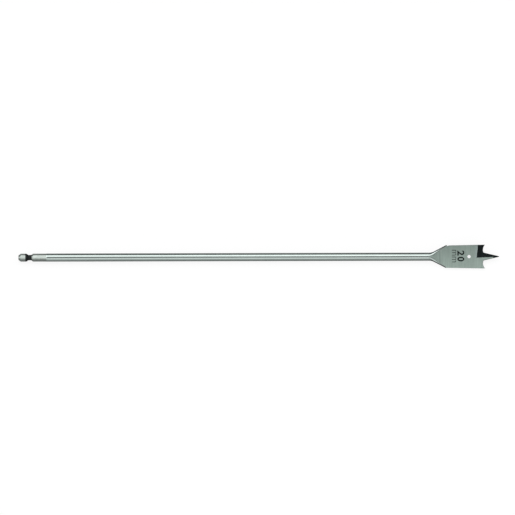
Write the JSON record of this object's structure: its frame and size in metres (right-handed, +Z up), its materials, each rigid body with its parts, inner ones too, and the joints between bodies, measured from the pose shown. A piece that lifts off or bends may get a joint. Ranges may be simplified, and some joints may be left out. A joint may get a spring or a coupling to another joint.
{
  "type": "spade drill bit",
  "caption": "Long spade drill bit for wood: hex shank with detent groove, round steel bar forged out to a flat blade with spurred cutting lips, centre point and pull wire hole.",
  "frame": {"origin": "centre of the shank's end face, on the bit's axis", "axes": "+X along the bit's axis from the shank to the point, +Z up as the bit lies at rest, on the bar and on one side of the blade, +Y across it. The blade is rolled 14.2 degrees about X from level, with its -Y side down"},
  "size_m": [0.406, 0.0198, 0.0068],
  "materials": {
    "steel": "drawn bar, cross-ground blade, dark ground lips",
    "size_mark": "dark etched size mark"
  },
  "bodies": {
    "root": {"spade_bit": "steel"}
  },
  "joints": []
}
